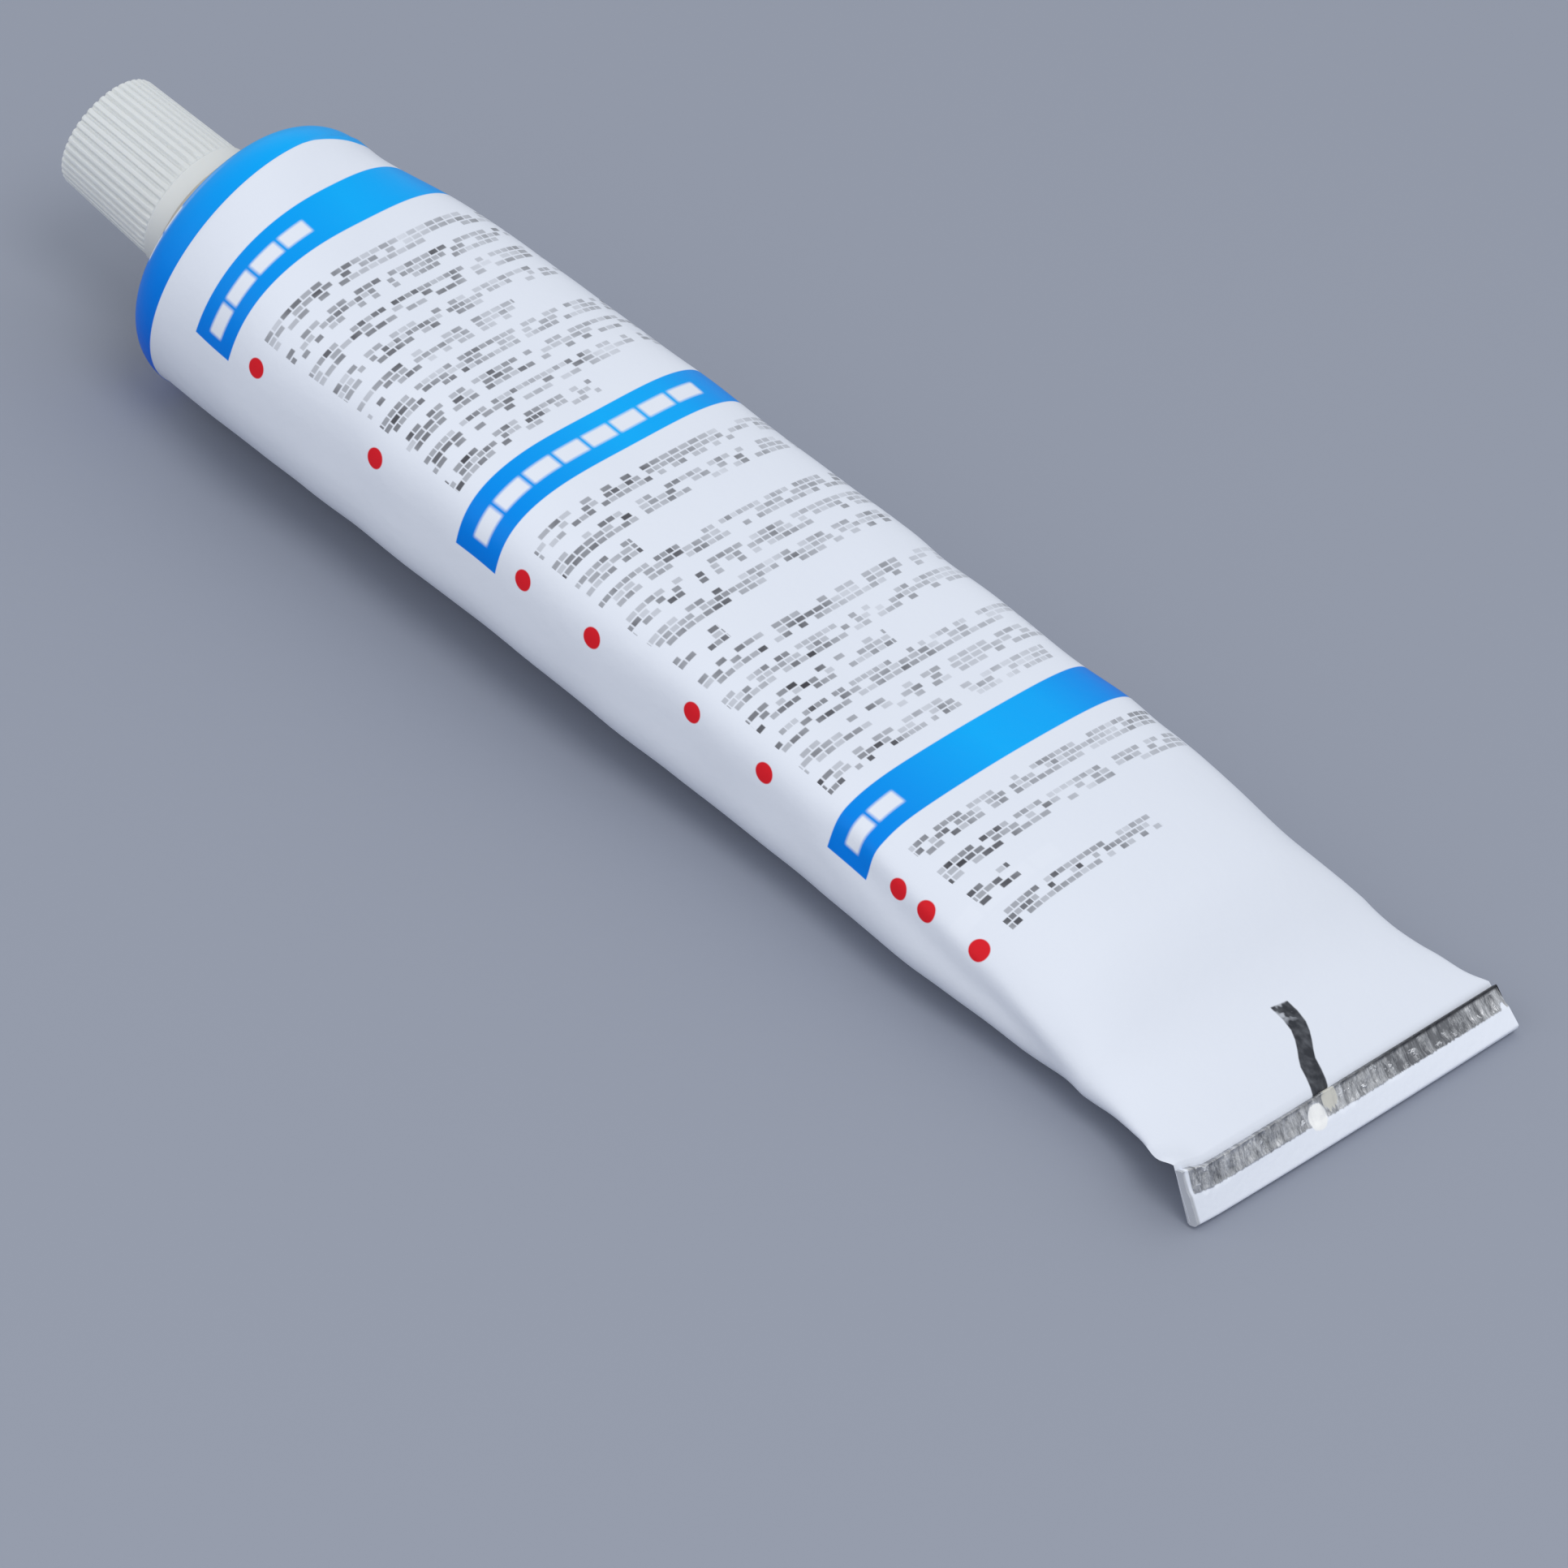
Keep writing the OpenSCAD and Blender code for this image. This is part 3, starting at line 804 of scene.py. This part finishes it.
class TubeTail(bpy.types.Operator):
    """Flap folded back over the flattened end, crimped along its bare margin"""

    bl_idname = "object.tube_tail"
    bl_label = "Crimped tail"

    def execute(self, context):
        form, colours = context.scene.tube_form, context.scene.tube_print
        tail = Tail(form)
        y = np.linspace(-TAIL_W / 2 + .05, TAIL_W / 2 - .05, 420)[:, None]
        lift = SHEET_T / 2 + FLAP_T
        down = np.concatenate([[.1, .1, .1, .115], np.linspace(.14, .96, 26),
                               [.985, 1.0, 1.025, 1.03, 1.03, 1.0, .5]])
        high = np.concatenate([[0, lift * .5, lift - .12, lift - .03], np.full(26, lift),
                               [lift - .04, lift - .12, SHEET_T / 2 + .15, SHEET_T / 2, -SHEET_T / 4, -SHEET_T / 2,
                                -SHEET_T / 4]])
        s, w = down[None, :] + 0 * y, high[None, :] + 0 * y
        face = (high[None, :] > lift - .05) * smooth(s, .1, .16)
        margin = 1 - smooth(s + .07 * lattice(y / 1.3, 0 * y, 3), .44, .56)
        flute = np.abs(((y / CRIMP_PITCH + .25 * lattice(y / 3.1, 0 * y, 7)) % 1) - .5) * 2
        marks = .12 * smooth(flute, .35, .8) + .07 * (lattice(y / .6, s * 5.0, 13) + 1)
        ripple = .05 * lattice(y / 5.0 + 3, s * 1.5, 17) * (1 - margin)
        w = w - face * (margin * marks - ripple)
        grid = curled(tail.point(y * (1 - STRIP_SLANT * s * (y < 0)), s, w), form)
        grid = np.concatenate([grid, grid[:, :1]], 1)
        uv = np.stack([y + 0 * s, s * tail.fold(y)], -1)
        uv = np.concatenate([uv, uv[:, :1]], 1)
        mesh = make_mesh("tube_tail", grid, uv, sharp=50)
        add_piece("tube_tail", mesh, "tube", "", tail_material(colours))
        return {"FINISHED"}


class TubeNeck(bpy.types.Operator):
    """Threaded neck with the pierceable membrane"""

    bl_idname = "object.tube_neck"
    bl_label = "Threaded neck"

    def execute(self, context):
        form, colours = context.scene.tube_form, context.scene.tube_print
        q = np.linspace(0, 2 * math.pi, 145)[None, :]
        s = np.linspace(0, 1, 90)[:, None]
        z = SEAT_Z - 1 + s * (NECK_H + 1)
        rise = z - SEAT_Z
        turns = (rise - 1.2) / THREAD_PITCH - q / (2 * math.pi)
        ridge = smooth(np.cos(2 * math.pi * turns), .1, .9)
        live = smooth(rise + 0 * q, .6, 1.4) * (1 - smooth(rise, NECK_H - 1.6, NECK_H - .7))
        r = NECK_D / 2 + THREAD_H * ridge * live - .25 * smooth(rise, NECK_H - .3, NECK_H)
        wall = neck_frame(r, q, z + 0 * q, form.neck_tilt)
        rim = [(NECK_D / 2 - .35, 0), (NECK_D / 2 - NECK_WALL + .1, 0), (NECK_D / 2 - NECK_WALL, -.1),
               (NECK_D / 2 - NECK_WALL - .1, -MEMBRANE_DEPTH), (2.6, -MEMBRANE_DEPTH + .04),
               (.8, -MEMBRANE_DEPTH + .12)]
        lip = np.stack([neck_frame(a + 0 * q[0], q[0], SEAT_Z + NECK_H + b, form.neck_tilt) for a, b in rim])
        mesh = make_mesh("tube_neck", np.concatenate([wall, lip]), sharp=40)
        add_piece("tube_neck", mesh, "tube", "", foil_material(colours))
        return {"FINISHED"}


class TubeCap(bpy.types.Operator):
    """Ribbed cap: plain collar, tapered grip, threaded bore, and spike in its recessed end"""

    bl_idname = "object.tube_cap"
    bl_label = "Ribbed cap"

    def execute(self, context):
        """Turns a profile of points (height, radius, kind) round the axis, from the bore over the
        collar and the grip to the tip of the spike. Kind 1 carries the ribs and 2 the thread."""
        form, colours = context.scene.tube_form, context.scene.tube_print
        high, base, top = form.cap_h / MM, form.cap_base_d / 2 / MM, form.cap_top_d / 2 / MM
        bore, bore_h = NECK_D / 2 + THREAD_GAP, NECK_H + RIM_GAP
        floor = bore_h + WEB_T
        foot = base - COLLAR_STEP
        grip = np.linspace(0, 1, 26)[1:-1]
        grip_h = high - COLLAR_H - EDGE_BEVEL - .1
        outer = [(0.0, bore + .35, 0), (0.0, base - .2, 0), (.2, base, 0), (COLLAR_H - .2, base, 0),
                 (COLLAR_H, base - .2, 0), (COLLAR_H + .05, foot - .05, .3)]
        outer += [(COLLAR_H + .1 + g * grip_h, foot + (top - foot) * g, 1) for g in grip]
        outer += [(high - EDGE_BEVEL, top, 1), (high - EDGE_BEVEL * .4, top - EDGE_BEVEL * .15, 1),
                  (high, top - EDGE_BEVEL * .7, .9), (high, RECESS_R + .15, 0), (high - .12, RECESS_R, 0),
                  (floor + .15, RECESS_R - .02, 0), (floor, RECESS_R - .15, 0), (floor, 2.3, 0),
                  (floor + .1, 2.05, 0),
                  (high - 1.6, 1.0, 0), (high - .55, .35, 0), (high - .5, .12, 0)]
        inner = [(bore_h, .2, 0), (bore_h, bore - .3, 0), (bore_h - .3, bore, 0)]
        inner += [(z, bore, 2) for z in np.linspace(bore_h - .6, .9, 46)] + [(.3, bore, 0)]
        z, r, kind = (np.array(v)[:, None] for v in zip(*(inner + outer)))
        ribs = int(form.cap_ribs)
        q = np.linspace(0, 2 * math.pi, ribs * 12 + 1)[None, :]
        wave = np.cos(q * ribs)
        groove = 1 - smooth(wave, -.9, .25)
        ribbed = np.where(kind <= 1, kind, 0)
        turns = (z - 1.2) / THREAD_PITCH - q / (2 * math.pi)
        cut = smooth(np.cos(2 * math.pi * turns), .0, .85) * (kind == 2)
        r = r - RIB_DEPTH * ribbed * groove + THREAD_H * cut
        grid = neck_frame(r, q, SEAT_Z + z + 0 * q, form.neck_tilt)
        mesh = make_mesh("cap_shell", grid, sharp=42)
        add_piece("cap_shell", mesh, "cap", "cap", cap_material(colours))
        return {"FINISHED"}


# Lamps: name, place, what they are aimed at, size, power, colour
LAMPS = [
    ("Key", (.44, -.31, .95), (0, 0, 0), .5, 2.7, (1, .985, .96)),
    ("Fill", (-.55, -.9, .5), (0, 0, .01), 1.0, 1.9, (1, .99, .98)),
]
# The camera: its bearing, its focal length in pixels of the photograph, and where it looks
AZIMUTH, ELEVATION, ROLL = math.radians(34.6635), math.radians(37.63528), math.radians(11.13861)
PHOTO_SIZE = 1932
FOCAL = 11956.49
LOOK_AT = (0.0226699, -.01504852, .010)
DISTANCE = .90570823
TABLE_HALF = 4.0


def area_lamp(name, place, target, size, power, colour):
    """Soft square lamp at place, aimed at target."""
    data = bpy.data.lights.new(name, "AREA")
    data.shape, data.size, data.energy, data.color = "DISK", size, power, colour
    lamp = bpy.data.objects.new(name, data)
    lamp.location = place
    lamp.rotation_euler = (Vector(target) - Vector(place)).to_track_quat("-Z", "Y").to_euler()
    bpy.context.scene.collection.objects.link(lamp)


class TubeStage(bpy.types.Operator):
    """Table, soft light and the camera at the photograph's angle"""

    bl_idname = "object.tube_stage"
    bl_label = "Stage"

    def execute(self, context):
        scene = context.scene
        side = np.array([-TABLE_HALF, TABLE_HALF])
        x, y = (v.ravel() for v in np.meshgrid(side, side, indexing="ij"))
        mesh = bpy.data.meshes.new("table")
        mesh.from_pydata(np.stack([x, y, 0 * x - 4e-5], 1).tolist(), [], [(0, 2, 3, 1)])
        table = bpy.data.objects.new("table", mesh)
        scene.collection.objects.link(table)
        mesh.materials.append(table_material(scene.tube_print))

        world = bpy.data.worlds.new("Room")
        world.use_nodes = True
        world.node_tree.nodes["Background"].inputs[0].default_value = (.94, .97, 1.0, 1)
        world.node_tree.nodes["Background"].inputs[1].default_value = .79
        scene.world = world
        for lamp in LAMPS:
            area_lamp(*lamp)
        scene.view_settings.view_transform = "Standard"

        back = Vector((math.sin(AZIMUTH) * math.cos(ELEVATION), -math.cos(AZIMUTH) * math.cos(ELEVATION),
                       math.sin(ELEVATION)))
        right = Vector((math.cos(AZIMUTH), math.sin(AZIMUTH), 0))
        up = back.cross(right)
        across = right * math.cos(ROLL) + up * math.sin(ROLL)
        upward = up * math.cos(ROLL) - right * math.sin(ROLL)
        data = bpy.data.cameras.new("Camera")
        data.sensor_width = 36
        data.lens = FOCAL / PHOTO_SIZE * data.sensor_width
        data.clip_start, data.clip_end = .05, 20
        camera = bpy.data.objects.new("Camera", data)
        turn = Matrix((across, upward, back)).transposed().to_4x4()
        turn.translation = Vector(LOOK_AT) + back * DISTANCE
        camera.matrix_world = turn
        scene.collection.objects.link(camera)
        scene.camera = camera
        return {"FINISHED"}


class TubePanel(bpy.types.Panel):
    """Lists the pieces, the sizes and the colours"""

    bl_idname = "VIEW3D_PT_adhesive_tube"
    bl_label = "Adhesive tube"
    bl_space_type = "VIEW_3D"
    bl_region_type = "UI"
    bl_category = "Tube"

    def draw(self, context):
        for group in (context.scene.tube_form, context.scene.tube_print):
            box = self.layout.box()
            for key in group.__annotations__:
                box.prop(group, key)
        for operator in OPERATORS:
            self.layout.operator(operator.bl_idname)


OPERATORS = (TubeStage, TubeBody, TubeTail, TubeNeck, TubeCap)
CLASSES = (TubeForm, TubePrint) + OPERATORS + (TubePanel,)


def register():
    for kind in CLASSES:
        bpy.utils.register_class(kind)
    bpy.types.Scene.tube_form = PointerProperty(type=TubeForm)
    bpy.types.Scene.tube_print = PointerProperty(type=TubePrint)


def unregister():
    del bpy.types.Scene.tube_print
    del bpy.types.Scene.tube_form
    for kind in reversed(CLASSES):
        bpy.utils.unregister_class(kind)


def main():
    register()
    bpy.ops.object.tube_stage()
    bpy.ops.object.tube_body()
    bpy.ops.object.tube_tail()
    bpy.ops.object.tube_neck()
    bpy.ops.object.tube_cap()


if __name__ == "__main__":
    main()
